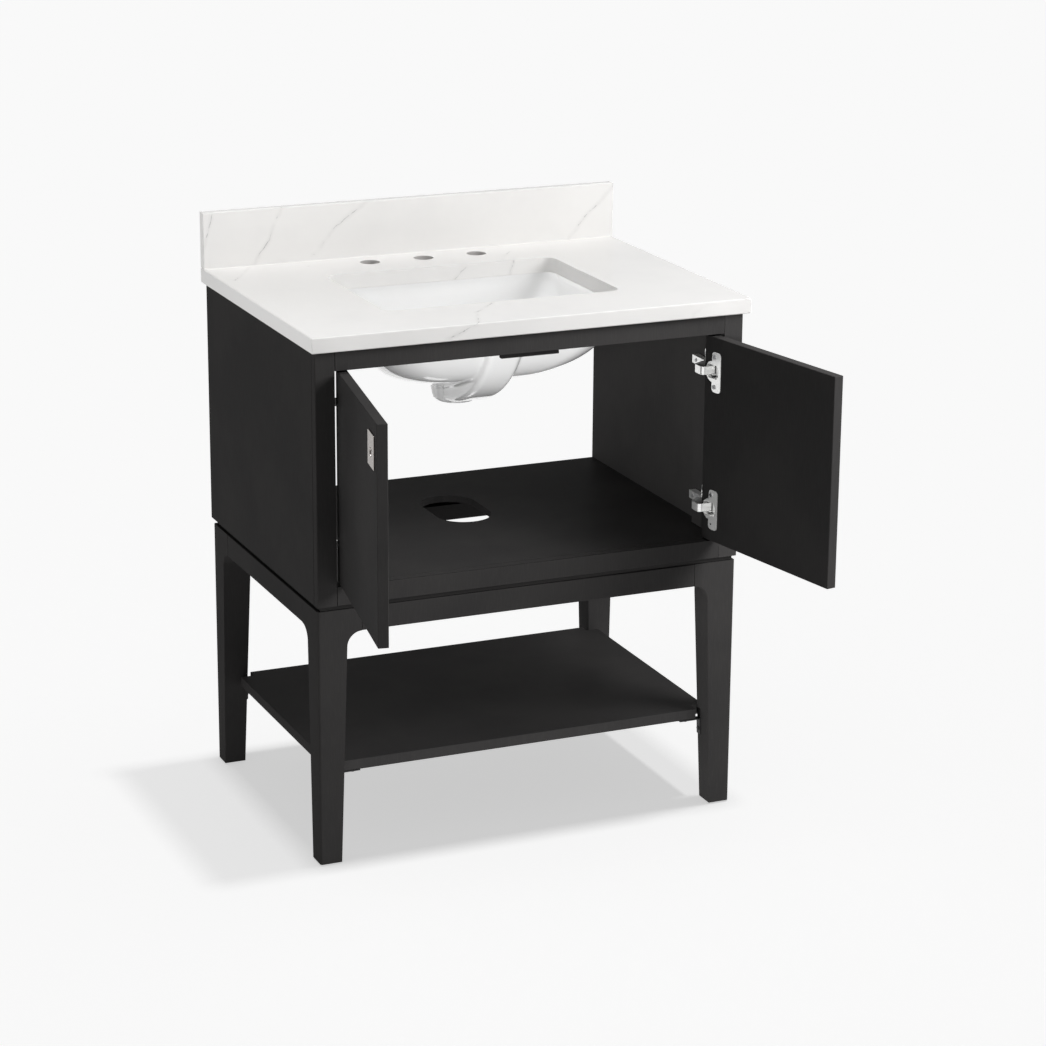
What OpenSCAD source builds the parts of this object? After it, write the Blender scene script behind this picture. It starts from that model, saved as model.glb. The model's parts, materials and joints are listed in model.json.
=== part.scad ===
// Bathroom vanity: stone top, undermount basin, two-door cabinet and an open stand
// Millimetres. Origin on the floor, at the wall, in the middle. +X right, +Y to the wall, +Z up.

/* [Stone top] */
// Width of the stone top
top_w = 787; // [740:1:900]
// Depth of the stone top, wall to front edge
top_d = 571; // [550:1:640]
// Thickness of the stone top
slab_t = 26; // [18:1:40]
// Height of the backsplash above the top
splash_h = 100; // [60:1:150]
// Thickness of the backsplash
splash_t = 18; // [12:1:25]
// How far the top stands out past the front of the cabinet
front_overhang = 12; // [4:0.5:25]
// How far the top stands out past each side of the cabinet
side_overhang = 9.5; // [3:0.5:20]
// Size of the eased edges of the stone
stone_ease = 1.5; // [0.5:0.5:4]

/* [Faucet holes] */
// Diameter of each faucet hole
faucet_hole_d = 35; // [25:1:38]
// Distance between neighbouring faucet holes
faucet_pitch = 101.6; // [90:0.1:110]
// Distance from the wall to the middle of the faucet holes
faucet_back = 65.5; // [50:0.5:75]

/* [Basin] */
// Width of the cut-out in the top
cutout_w = 430; // [380:1:450]
// Depth of the cut-out, front to back
cutout_d = 292; // [260:1:300]
// Corner radius of the cut-out
cutout_r = 20; // [10:1:40]
// Distance from the wall to the middle of the cut-out
cutout_back = 288; // [280:1:300]
// How far the bowl lies back under the edge of the cut-out
bowl_reveal = 6; // [2:1:10]
// Thickness of the china
china_t = 8; // [6:0.5:10]
// Depth from the top of the flange down to the floor of the bowl
bowl_depth = 157; // [130:1:175]
// Width of the flange outside the bowl
flange_w = 14; // [10:1:20]
// Thickness of the flange
flange_t = 10; // [8:0.5:14]
// Distance from the wall to the middle of the drain
drain_back = 215; // [205:1:260]
// Diameter of the drain hole
drain_d = 44.5; // [40:0.5:50]
// Height of the drain boss below the floor of the bowl
boss_h = 39.5; // [36:0.5:60]
// Width of the overflow channel
channel_w = 67; // [56:1:68]
// How far the overflow channel's top stands in front of the bowl's rim
channel_out = 12; // [9:1:13]
// Depth of the overflow hole's middle below the slab
overflow_drop = 38; // [34:1:60]

/* [Cabinet] */
// Height of the cabinet body
body_h = 431; // [400:1:520]
// Thickness of the side panels
panel_t = 18; // [15:1:22]
// Thickness of the face frame
frame_t = 18; // [16:0.5:22]
// Width of the stiles
stile_w = 34; // [30:1:50]
// Height of the top rail
top_rail_h = 34.5; // [25:0.5:50]
// Height of the bottom rail
bottom_rail_h = 33.5; // [28:0.5:50]
// Thickness of the cabinet floor
floor_t = 12; // [9:1:18]
// Height of the wall-fixing rail
back_rail_h = 80; // [60:1:100]
// Depth of the cleats that carry the hinges, front to back
cleat_d = 90; // [80:1:120]
// Length of the hole for the pipes, front to back
pipe_hole_l = 167; // [120:1:180]
// Width of the hole for the pipes
pipe_hole_w = 100; // [60:1:110]
// Distance from the wall to the middle of the hole for the pipes
pipe_hole_back = 218; // [200:1:240]
// Distance between the two wall screws
wall_screw_pitch = 406.4; // [300:0.1:500]
// Diameter of the wall screw holes
wall_screw_d = 6; // [5:0.5:8]
// Size of the eased edges of the wood
wood_ease = 0.8; // [0.3:0.1:2]

/* [Stand] */
// Height of the stand
stand_h = 449; // [400:1:500]
// Height of the shadow gap between stand and cabinet
reveal_h = 8; // [4:1:15]
// How far the stand lies inside the cabinet's front
stand_front_inset = 3; // [0:0.5:8]
// How far the stand lies inside the cabinet's sides
stand_side_inset = 1; // [0:0.5:4]
// Distance from the wall to the back of the stand
stand_back = 10; // [5:1:20]
// Height of the aprons
apron_h = 40; // [32:1:60]
// Thickness of the aprons
apron_t = 20; // [18:1:25]
// Width of a leg under the apron
leg_w = 51; // [48:1:60]
// Width of a leg at the floor
leg_foot_w = 38; // [32:1:45]
// Radius of the curve from leg to apron
leg_fillet_r = 26; // [15:1:35]
// Rounding of the outer corner of a leg
leg_corner_r = 4; // [1:0.5:8]
// Height of the top of the lower shelf
shelf_z = 170; // [120:1:250]
// Thickness of the lower shelf
shelf_t = 18; // [15:1:25]
// Gap between the shelf's notches and the legs
shelf_leg_gap = 9; // [4:0.5:12]

/* [Doors] */
// Gap round each door
door_gap = 3; // [2.6:0.1:5]
// Gap above and below each door
door_gap_z = 2.5; // [1.5:0.1:5]
// Thickness of the doors
door_t = 17.5; // [17:0.1:17.8]
// Angle at which both doors stand open, in degrees
open_angle = 100; // [0:1:105]
// Distance from the top of the door to the upper hinge
hinge_top = 60; // [50:1:90]
// Distance from the bottom of the door to the lower hinge
hinge_bottom = 56; // [50:1:90]
// Width of the pull plate
pull_w = 46; // [30:1:50]
// Height of the pull plate
pull_h = 54; // [40:1:70]
// Distance from the free edge of the door to the middle of the pull
pull_from_edge = 39.5; // [36:0.5:60]
// Distance from the top of the door to the middle of the pull
pull_top = 50.5; // [40:0.5:100]

/* [Hinges] */
// Distance from the door's hinge edge to the pivot
pivot_in = 12; // [11:0.1:12.5]
// Distance from the door's outer face to the pivot
pivot_deep = 8; // [7.8:0.1:8.4]
// Diameter of the hinge cup
cup_d = 35; // [34:0.5:36]
// Distance from the door's hinge edge to the middle of the cup
cup_in = 22.5; // [21.5:0.1:23]
// Thickness of the hinge sheet metal
hinge_sheet = 2.4; // [2:0.1:2.6]
// Width of the hinge arm
arm_w = 14; // [12:0.5:14.5]
// Height of the mounting plate's wings
wing_h = 48; // [44:1:56]

/* [Hidden] */
$fn = 64;
// Overrun of a cut past the face that it opens
cut = 1;

// Colours
stone_colour = [0.93, 0.92, 0.90];
china_colour = [0.97, 0.97, 0.97];
black_wood = [0.13, 0.13, 0.13];
nickel = [0.80, 0.80, 0.79];
steel = [0.62, 0.62, 0.63];
black_steel = [0.16, 0.16, 0.16];
plastic_colour = [0.25, 0.25, 0.25];

// Levels, from the floor up
body_z0 = stand_h + reveal_h;
body_z1 = body_z0 + body_h;
top_z = body_z1 + slab_t;
inner_z0 = body_z0 + bottom_rail_h;
opening_z1 = body_z1 - top_rail_h;
apron_z0 = stand_h - apron_h;
fillet_z = apron_z0 - leg_fillet_r;
glide_t = 2.5;

// Plan of the cabinet
body_hw = top_w / 2 - side_overhang;
front_y = front_overhang - top_d;
frame_y = front_y + frame_t;
inner_hw = body_hw - panel_t;
opening_hw = body_hw - stile_w;

// Plan of the stand
stand_hw = body_hw - stand_side_inset;
stand_y0 = front_y + stand_front_inset;
stand_y1 = -stand_back;
ear_end = leg_w + leg_fillet_r;

// Basin
bowl_hw = cutout_w / 2 + bowl_reveal + china_t;
bowl_hd = cutout_d / 2 + bowl_reveal + china_t;
bowl_y = -cutout_back;
bowl_corner_r = cutout_r + bowl_reveal + china_t;
drain_y = -drain_back;
drain_r = drain_d / 2;
drain_seat = 5;
drain_seat_r = drain_r + drain_seat;
boss_wall = 12;
boss_r = drain_r + boss_wall;
boss_edge = 6;
boss_flare = 12;
boss_shoulder = 4;
bowl_floor_z = body_z1 - bowl_depth;
boss_z0 = bowl_floor_z - boss_h;
// Share of the bowl's depth taken by its steeper wall, and of its width by the bend below it
wall_share = 0.567;
bend_share = 0.45;
bend_rings = 9;
floor_rings = 5;
corner_steps = 8;
// Least straight length between the corners of a ring, so that no two points meet
ring_flat = 0.5;
overflow_w = 40;
overflow_h = 8;
overflow_z = body_z1 - overflow_drop;
// The channel's outline starts along the front wall and ends almost level under the drain
channel_top_y = bowl_y - bowl_hd - channel_out;
channel_head = 12;
channel_top_z = overflow_z + channel_head;
channel_slant = 70;
channel_foot_slope = 5;
channel_foot_z = boss_z0 + 1;
channel_pull = 113;
channel_depth = 40;
channel_wall = 6;
channel_corner_r = 12;
channel_steps = 12;
passage_w = 30;
passage_t = 9;
passage_start = 0.025;

// Clips that hold the basin
clip_w = 22;
clip_t = 3;
clip_lap = 10;
clip_foot = 16;
clip_spread = 0.62;
clip_spread_x = bowl_hw * clip_spread;
stud_r = 3;
stud_play = 0.1;
stud_depth = 12;
nut_r = 6.5;
nut_h = 5;
nut_tail = 4;

// Blocks and bolts
corner_block = 70;
top_block_h = 22;
bottom_block_h = bottom_rail_h - floor_t;
stand_block_h = 24;
stand_block_reach = 150;
bolt_r = 3;
bolt_play = 0.3;
bolt_off = 15;
bolt_in = leg_w + bolt_off;
bolt_head_r = 5.8;
bolt_head_h = 4.5;
bolt_bite = 16;
stop_hw = 52;
stop_t = 10;
stop_drop = 11;
stop_h = 34;
spacer_inset = 6;
spacer_w = 72;

// Shelf
shelf_side_gap = 28;
shelf_front_gap = 31;
shelf_back_gap = 32;
bracket_t = 2;
bracket_w = 12;
bracket_reach = 40;
bracket_drop = 30;
bracket_screw_drop = 20;
bracket_screw_in = 12;
screw_r = 1.75;
screw_play = 0.1;
screw_head_r = 3.6;
screw_head_h = 1.6;
screw_l = 14;
glide_r = 12;
leg_taper = atan((leg_w - leg_foot_w) / fillet_z);

// Doors
door_x0 = door_gap / 2;
door_x1 = opening_hw - door_gap;
door_z0 = inner_z0 + door_gap_z;
door_z1 = opening_z1 - door_gap_z;
door_y1 = front_y + door_t;
hinge_zs = [door_z0 + hinge_bottom, door_z1 - hinge_top];

// Pull
pull_t = 2.2;
pull_ease = 0.6;
pull_cup_r = 9;
pull_cup_wall = 1;
pull_cup_deep = 7;
pull_cup_drop = 3.5;
pull_lip_r = 1.7;
pull_lip_w = 15;
pull_lip_rise = 5;
pull_play = 0.1;
pull_x = door_x0 + pull_from_edge;
pull_z = door_z1 - pull_top;

// Hinge cup, in the plan of the closed door
pivot_x = door_x1 - pivot_in;
pivot_y = front_y + pivot_deep;
cup_x = door_x1 - cup_in;
cup_r = cup_d / 2;
cup_play = 0.1;
cup_wall = 0.8;
cup_floor_t = 0.6;
pin_r = 1.25;
pin_play = 0.05;
eye_wall = 1.15;
eye_r = pin_r + eye_wall;
eye_gap = 0.4;
cup_floor_y = pivot_y - eye_r - eye_gap;
cup_bore_y = cup_floor_y - cup_floor_t;
cup_flange_w = 24;
cup_flange_in = 33;
cup_flange_h = 70;
cup_flange_t = 1.2;
cup_flange_r = 7;
cup_rim_w = 0.8;
cup_inner_r = cup_r - cup_play - cup_wall;
cup_mouth_h = 24;
cup_screw_in = 28;
cup_screw_z = 26;
ear_t = 2;
ear_w = 6.5;
ear_deep = 5.6;
ear_z = arm_w / 2 + eye_gap;

// Hinge arm, in plan. Its nose comes close to the cup's far wall
nose_r = 4;
nose_play = 1.2;
nose_mid_r = nose_r + hinge_sheet / 2;
nose_side_x = cup_x - sqrt(pow(cup_inner_r, 2) - pow(arm_w / 2, 2)) + nose_play + hinge_sheet / 2;
nose_x = nose_side_x + nose_mid_r;
// The sheet lies a little above the eye's lowest line
eye_lap = 0.3;
nose_line_y = pivot_y - eye_r + eye_lap + hinge_sheet / 2;
nose_y = nose_line_y + nose_mid_r;
nose_rise = 16;
neck_r = 6.2;
neck_turn = 60;
neck_lap = 2;
neck_steps = 8;
neck_x = nose_side_x + neck_r;
neck_y = nose_y + nose_rise;
arm_h = 13;
arm_x = opening_hw - arm_h;
arm_l = 46;
arm_roof = 2;
plate_t = 3.5;
plate_play = 0.3;
plate_w = arm_w - 2 * arm_roof - 2 * plate_play;
wing_w = 13;
wing_t = 2;
wing_back = 14;
wing_screw_z = 16;
neck_end_x = neck_x - neck_r * cos(neck_turn);
neck_end_y = neck_y + neck_r * sin(neck_turn);
neck_run = (arm_x + hinge_sheet / 2 - neck_end_x) / sin(neck_turn);
arm_y0 = neck_end_y + neck_run * cos(neck_turn);
arm_y1 = arm_y0 + arm_l;
wing_y = arm_y0 + wing_back;
arm_screw_r = 2.8;
arm_screw_head = 1.4;
side_screw_back = 12;
fix_screw_back = 32;
side_screw_y = arm_y0 + side_screw_back;
fix_screw_y = arm_y0 + fix_screw_back;

function lerp(a, b, t) = a + (b - a) * t;

// A box between two corners, given as ranges
module block(x, y, z) {
    translate([x[0], y[0], z[0]])
        cube([x[1] - x[0], y[1] - y[0], z[1] - z[0]]);
}

// An oblong with its four corners cut off
module cut_corners(a, b, ease) {
    polygon([
        [ease, 0], [a - ease, 0], [a, ease], [a, b - ease],
        [a - ease, b], [ease, b], [0, b - ease], [0, ease]
    ]);
}

// A box between two corners with all its edges eased
module eased(x, y, z, ease = wood_ease) {
    dx = x[1] - x[0];
    dy = y[1] - y[0];
    dz = z[1] - z[0];
    translate([x[0], y[0], z[0]])
        intersection() {
            linear_extrude(dz) cut_corners(dx, dy, ease);
            rotate([90, 0, 90]) linear_extrude(dx) cut_corners(dy, dz, ease);
            translate([0, dy, 0]) rotate([90, 0, 0]) linear_extrude(dy) cut_corners(dx, dz, ease);
        }
}

// A flat oblong with round corners, centred
module round_oblong(w, d, r) {
    square([w - 2 * r, d], center = true);
    square([w, d - 2 * r], center = true);
    for (x = [-1, 1], y = [-1, 1])
        translate([x * (w / 2 - r), y * (d / 2 - r)]) circle(r);
}

// A round hole or rod from z0 to z1
module rod(x, y, z0, z1, r) {
    translate([x, y, z0]) cylinder(h = z1 - z0, r = r);
}

// Puts its children on the left of the cabinet as well as they are on the right
module on_side(side) {
    mirror([side < 0 ? 1 : 0, 0, 0]) children();
}

// STONE TOP

// Middles of the six clips' studs: two in front, two behind, one at each side
clip_front_y = bowl_y - bowl_hd - flange_w - clip_foot / 2;
clip_back_y = bowl_y + bowl_hd + flange_w + clip_foot / 2;
clip_side_x = bowl_hw + flange_w + clip_foot / 2;
clip_places = [
    [-clip_spread_x, clip_front_y, 90], [clip_spread_x, clip_front_y, 90],
    [-clip_spread_x, clip_back_y, -90], [clip_spread_x, clip_back_y, -90],
    [-clip_side_x, bowl_y, 0], [clip_side_x, bowl_y, 180]
];

module countertop() {
    color(stone_colour)
        difference() {
            eased([-top_w / 2, top_w / 2], [-top_d, 0], [body_z1, top_z], stone_ease);
            translate([0, bowl_y, body_z1 - cut])
                linear_extrude(slab_t + 2 * cut) round_oblong(cutout_w, cutout_d, cutout_r);
            for (i = [-1 : 1])
                rod(i * faucet_pitch, -faucet_back, body_z1 - cut, top_z + cut, faucet_hole_d / 2);
            for (p = clip_places)
                rod(p[0], p[1], body_z1 - cut, body_z1 + stud_depth, stud_r + stud_play);
        }
}

module backsplash() {
    color(stone_colour)
        eased([-top_w / 2, top_w / 2], [-splash_t, 0], [top_z, top_z + splash_h], stone_ease);
}

// BASIN

// One level of the bowl: an oblong with round corners, as points going round
function ring(half_x, half_y, r, y, z) = [
    for (q = [0 : 3], i = [0 : corner_steps])
        let (
            a = 90 * (q + i / corner_steps),
            side_x = q == 0 || q == 3 ? 1 : -1,
            side_y = q < 2 ? 1 : -1
        )
        [side_x * (half_x - r) + r * cos(a), y + side_y * (half_y - r) + r * sin(a), z]
];

// The way in towards the drain at each ring, from 0 at the rim to 1 at the drain
function way_in(i) =
    i <= bend_rings
        ? bend_share * (1 - cos(90 * i / bend_rings))
        : lerp(bend_share, 1, (i - bend_rings) / floor_rings);

// The way down at each ring, from 0 at the rim to 1 at the drain
function way_down(i) =
    wall_share * sin(90 * min(i / bend_rings, 1)) + (1 - wall_share) * way_in(i);

// The bowl's surface, set in by a thickness; its rim is raised by the given rise
function bowl_rings(inset, end_r, floor_z, rise) = [
    for (i = [0 : bend_rings + floor_rings])
        let (
            t = way_in(i),
            half_x = lerp(bowl_hw - inset, end_r, t),
            half_y = lerp(bowl_hd - inset, end_r, t),
            r = lerp(bowl_corner_r - inset, min(half_x, half_y) - ring_flat, sqrt(t)),
            y = lerp(bowl_y, drain_y, t),
            z = lerp(body_z1, floor_z, way_down(i)) + (i == 0 ? rise : 0)
        )
        ring(half_x, half_y, r, y, z)
];

// A closed solid through rings of points, from the top ring down
module loft(rings) {
    n = len(rings[0]);
    last = len(rings) - 1;
    polyhedron(
        points = [for (ring_points = rings) each ring_points],
        faces = [
            [for (j = [n - 1 : -1 : 0]) j],
            [for (j = [0 : n - 1]) last * n + j],
            for (i = [0 : last - 1], j = [0 : n - 1])
                let (a = i * n + j, b = i * n + (j + 1) % n)
                each [[a, b, b + n], [a, b + n, a + n]]
        ]
    );
}

// The overflow channel's outline, as a curve through four points seen from the side
channel_ends = [
    [channel_top_y, channel_top_z],
    [channel_top_y + channel_pull * cos(channel_slant), channel_top_z - channel_pull * sin(channel_slant)],
    [drain_y - channel_pull * cos(channel_foot_slope), channel_foot_z + channel_pull * sin(channel_foot_slope)],
    [drain_y, channel_foot_z]
];

function along(p, t) =
    pow(1 - t, 3) * p[0] + 3 * pow(1 - t, 2) * t * p[1] + 3 * (1 - t) * t * t * p[2] + pow(t, 3) * p[3];

function heading(p, t) =
    let (d = pow(1 - t, 2) * (p[1] - p[0]) + 2 * (1 - t) * t * (p[2] - p[1]) + t * t * (p[3] - p[2]))
    d / norm(d);

// One ring across the channel, between two depths behind its outline
function channel_ring(w, near, far, r, t) =
    let (
        c = along(channel_ends, t),
        d = heading(channel_ends, t)
    )
    [
        for (p = ring(w / 2, (far - near) / 2, r, (near + far) / 2, 0))
            [p[0], c[0] - d[1] * p[1], c[1] + d[0] * p[1]]
    ];

// The channel, or the narrower passage inside it, from a place on the curve down to the drain
module channel(w, near, far, r, start) {
    loft([
        for (i = [0 : channel_steps])
            channel_ring(w, near, far, r, lerp(start, 1, i / channel_steps))
    ]);
}

module sink_basin() {
    flange_hw = bowl_hw + flange_w;
    flange_hd = bowl_hd + flange_w;
    color(china_colour)
        difference() {
            union() {
                loft(bowl_rings(0, boss_r + boss_flare + boss_shoulder, bowl_floor_z - china_t, 0));
                translate([0, bowl_y, body_z1 - flange_t])
                    linear_extrude(flange_t)
                        round_oblong(2 * flange_hw, 2 * flange_hd, bowl_corner_r + flange_w);
                translate([0, drain_y, boss_z0])
                    rotate_extrude()
                        polygon([
                            [0, 0], [boss_r, 0], [boss_r + boss_edge, boss_edge],
                            [boss_r + boss_flare, boss_h - china_t / 2], [0, boss_h - china_t / 2]
                        ]);
                channel(channel_w, 0, channel_depth, channel_corner_r, 0);
            }
            loft(bowl_rings(china_t, drain_seat_r, bowl_floor_z, cut));
            rod(0, drain_y, boss_z0 - cut, bowl_floor_z + cut, drain_r);
            channel(passage_w, channel_wall, channel_wall + passage_t, passage_t / 4, passage_start);
            translate([0, channel_top_y + channel_wall + passage_t / 2, overflow_z])
                block([-overflow_w / 2, overflow_w / 2], [0, 3 * china_t], [-overflow_h / 2, overflow_h / 2]);
        }
}

// Clip and stud stand at the origin under the slab, reaching towards +X over the flange
module sink_clips() {
    color(steel)
        for (p = clip_places)
            translate([p[0], p[1], body_z1])
                rotate([0, 0, p[2]])
                    difference() {
                        union() {
                            block([-clip_foot / 2, clip_foot / 2], [-clip_w / 2, clip_w / 2], [-flange_t, 0]);
                            block(
                                [-clip_foot / 2, clip_foot / 2 + clip_lap],
                                [-clip_w / 2, clip_w / 2],
                                [-flange_t - clip_t, -flange_t]
                            );
                        }
                        rod(0, 0, -flange_t - clip_t - cut, cut, stud_r + stud_play);
                    }
}

module clip_studs() {
    nut_z = body_z1 - flange_t - clip_t;
    color(steel)
        for (p = clip_places) {
            rod(p[0], p[1], nut_z - nut_h - nut_tail, body_z1 + stud_depth, stud_r);
            translate([p[0], p[1], nut_z - nut_h])
                cylinder(h = nut_h, r = nut_r, $fn = 6);
        }
}

// CABINET

module side_panel(side) {
    color(black_wood)
        on_side(side)
            eased([inner_hw, body_hw], [frame_y, 0], [body_z0, body_z1]);
}

module stile(side) {
    color(black_wood)
        on_side(side)
            eased([opening_hw, body_hw], [front_y, frame_y], [body_z0, body_z1]);
}

module top_rail() {
    color(black_wood)
        eased([-opening_hw, opening_hw], [front_y, frame_y], [opening_z1, body_z1]);
}

module bottom_rail() {
    color(black_wood)
        eased([-opening_hw, opening_hw], [front_y, frame_y], [body_z0, inner_z0]);
}

module floor_panel() {
    straight = pipe_hole_l - pipe_hole_w;
    color(black_wood)
        difference() {
            block([-inner_hw, inner_hw], [frame_y, 0], [inner_z0 - floor_t, inner_z0]);
            translate([0, -pipe_hole_back, inner_z0 - floor_t - cut])
                linear_extrude(floor_t + 2 * cut) {
                    square([pipe_hole_w, straight], center = true);
                    for (y = [-1, 1])
                        translate([0, y * straight / 2]) circle(d = pipe_hole_w);
                }
        }
}

module back_top_rail() {
    color(black_wood)
        difference() {
            block([-inner_hw, inner_hw], [-panel_t, 0], [body_z1 - back_rail_h, body_z1]);
            for (x = [-1, 1])
                translate([x * wall_screw_pitch / 2, cut, body_z1 - back_rail_h / 2])
                    rotate([90, 0, 0])
                        cylinder(h = panel_t + 2 * cut, d = wall_screw_d);
        }
}

module back_bottom_rail() {
    color(black_wood)
        block([-inner_hw, inner_hw], [-panel_t, 0], [body_z0, inner_z0 - floor_t]);
}

module hinge_cleat(side) {
    color(black_wood)
        on_side(side)
            difference() {
                eased([opening_hw, inner_hw], [frame_y, frame_y + cleat_d], [inner_z0, body_z1]);
                for (z = hinge_zs, s = [-1, 1])
                    translate([opening_hw - cut, wing_y, z + s * wing_screw_z])
                        rotate([0, 90, 0])
                            cylinder(h = screw_l, r = screw_r + screw_play);
            }
}

// Square blocks in the corners, under the top and under the floor
module corner_blocks() {
    block_x = [inner_hw - corner_block, inner_hw];
    back_y = [-panel_t - corner_block, -panel_t];
    front_top_y = frame_y + cleat_d;
    bolt_x = stand_hw - bolt_in;
    color(black_wood)
        for (side = [-1, 1])
            on_side(side) {
                block(block_x, back_y, [body_z1 - top_block_h, body_z1]);
                block(block_x, [front_top_y, front_top_y + corner_block], [body_z1 - top_block_h, body_z1]);
                for (front = [0, 1]) {
                    bolt_y = front == 1 ? stand_y0 + bolt_in : stand_y1 - bolt_in;
                    difference() {
                        block(
                            block_x,
                            front == 1 ? [frame_y, frame_y + corner_block] : back_y,
                            [body_z0, body_z0 + bottom_block_h]
                        );
                        rod(bolt_x, bolt_y, body_z0 - cut, body_z0 + bolt_bite, bolt_r + bolt_play);
                    }
                }
            }
}

module door_stop() {
    color(black_wood)
        eased(
            [-stop_hw, stop_hw],
            [frame_y, frame_y + stop_t],
            [opening_z1 - stop_drop, opening_z1 - stop_drop + stop_h]
        );
}

// Four strips that hold the cabinet off the stand
module spacer_frame() {
    x1 = body_hw - spacer_inset;
    x0 = x1 - spacer_w;
    y0 = front_y + spacer_inset;
    y1 = -stand_back - spacer_inset;
    z = [stand_h, body_z0];
    color(black_wood)
        difference() {
            union() {
                block([-x1, x1], [y0, y0 + spacer_w], z);
                block([-x1, x1], [y1 - spacer_w, y1], z);
                for (side = [-1, 1])
                    on_side(side) block([x0, x1], [y0 + spacer_w, y1 - spacer_w], z);
            }
            for (side = [-1, 1], y = [stand_y0 + bolt_in, stand_y1 - bolt_in])
                rod(side * (stand_hw - bolt_in), y, stand_h - cut, body_z0 + cut, bolt_r + bolt_play);
        }
}

// STAND

// Puts its children in a corner of the stand: +X and +Y run inwards from the outer corner
module at_corner(side, front) {
    translate([side * stand_hw, front ? stand_y0 : stand_y1, 0])
        mirror([side > 0 ? 1 : 0, 0, 0])
            mirror([0, front ? 0 : 1, 0])
                children();
}

// Width of the tapered leg at a height
function leg_at(z) = lerp(leg_foot_w, leg_w, z / fillet_z);

// Middle of the shelf bracket on the leg, in from the outer corner
bracket_v = leg_at(shelf_z - shelf_t - bracket_drop) - bracket_w / 2;
bracket_z = shelf_z - shelf_t;
bracket_leg_z = bracket_z - bracket_screw_drop;
bracket_end = leg_at(bracket_z) + bracket_reach;
bracket_shelf_u = bracket_end - bracket_screw_in;

// Puts its children on the leg's inner face at the bracket's screw, +Z pointing square out of the face
module on_leg_face() {
    translate([leg_at(bracket_leg_z), bracket_v, bracket_leg_z])
        rotate([0, 90 + leg_taper, 0])
            children();
}

module leg_outline() {
    polygon([
        [0, glide_t], [leg_at(glide_t), glide_t], [leg_w, fillet_z],
        [leg_w, stand_h], [0, stand_h]
    ]);
}

// The curved ear that joins a leg to an apron
module ear_outline() {
    difference() {
        translate([leg_w, fillet_z])
            square([leg_fillet_r, leg_fillet_r + apron_h]);
        translate([ear_end, fillet_z]) circle(leg_fillet_r);
    }
}

module leg_blank() {
    intersection() {
        translate([0, leg_w, 0]) rotate([90, 0, 0]) linear_extrude(leg_w) leg_outline();
        rotate([90, 0, 90]) linear_extrude(leg_w) leg_outline();
        linear_extrude(stand_h) {
            translate([leg_corner_r, 0]) square([leg_w - leg_corner_r, leg_w]);
            translate([0, leg_corner_r]) square([leg_w, leg_w - leg_corner_r]);
            translate([leg_corner_r, leg_corner_r]) circle(leg_corner_r);
        }
    }
    translate([0, apron_t, 0]) rotate([90, 0, 0]) linear_extrude(apron_t) ear_outline();
    rotate([90, 0, 90]) linear_extrude(apron_t) ear_outline();
}

module leg(side, front) {
    color(black_wood)
        at_corner(side, front)
            difference() {
                leg_blank();
                on_leg_face() rod(0, 0, -screw_l, cut, screw_r + screw_play);
            }
}

module long_apron(front) {
    y0 = front ? stand_y0 : stand_y1 - apron_t;
    x = stand_hw - ear_end;
    color(black_wood)
        eased([-x, x], [y0, y0 + apron_t], [apron_z0, stand_h]);
}

module side_apron(side) {
    color(black_wood)
        on_side(side)
            eased(
                [stand_hw - apron_t, stand_hw],
                [stand_y0 + ear_end, stand_y1 - ear_end],
                [apron_z0, stand_h]
            );
}

// Blocks that hug the inside of each leg between the aprons
module stand_corner_blocks() {
    color(black_wood)
        for (side = [-1, 1], front = [false, true])
            at_corner(side, front)
                difference() {
                    translate([0, 0, stand_h - stand_block_h])
                        linear_extrude(stand_block_h)
                            polygon([
                                [leg_w, apron_t], [stand_block_reach - apron_t, apron_t],
                                [apron_t, stand_block_reach - apron_t], [apron_t, leg_w], [leg_w, leg_w]
                            ]);
                    rod(bolt_in, bolt_in, stand_h - stand_block_h - cut, stand_h + cut, bolt_r + bolt_play);
                }
}

module cabinet_bolts() {
    z0 = stand_h - stand_block_h;
    color(steel)
        for (side = [-1, 1], front = [false, true])
            at_corner(side, front) {
                rod(bolt_in, bolt_in, z0 - bolt_head_h, body_z0 + bolt_bite - cut, bolt_r);
                translate([bolt_in, bolt_in, z0 - bolt_head_h])
                    cylinder(h = bolt_head_h, r = bolt_head_r, $fn = 6);
            }
}

module lower_shelf() {
    z = [shelf_z - shelf_t, shelf_z];
    x1 = stand_hw - shelf_side_gap;
    y0 = stand_y0 + shelf_front_gap;
    y1 = stand_y1 - shelf_back_gap;
    notch = leg_at(shelf_z) + shelf_leg_gap;
    color(black_wood)
        difference() {
            eased([-x1, x1], [y0, y1], z);
            for (side = [-1, 1], front = [false, true])
                at_corner(side, front) {
                    block([0, notch], [0, notch], [z[0] - cut, z[1] + cut]);
                    rod(bracket_shelf_u, bracket_v, z[0] - cut, z[0] + screw_l, screw_r + screw_play);
                }
        }
}

// Angle brackets: one leaf down the leg's tapered inner face, one leaf under the shelf
module shelf_brackets() {
    low_z = bracket_z - bracket_drop;
    bend_z = bracket_z - bracket_t;
    color(black_steel)
        for (side = [-1, 1], front = [false, true])
            at_corner(side, front)
                difference() {
                    translate([0, bracket_v + bracket_w / 2, 0])
                        rotate([90, 0, 0])
                            linear_extrude(bracket_w)
                                polygon([
                                    [leg_at(low_z), low_z], [leg_at(low_z) + bracket_t, low_z],
                                    [leg_at(bend_z) + bracket_t, bend_z], [bracket_end, bend_z],
                                    [bracket_end, bracket_z], [leg_at(bracket_z), bracket_z]
                                ]);
                    rod(
                        bracket_shelf_u, bracket_v, bend_z - cut, bracket_z + cut, screw_r + screw_play
                    );
                    on_leg_face() rod(0, 0, -cut, bracket_t + cut, screw_r + screw_play);
                }
}

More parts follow.
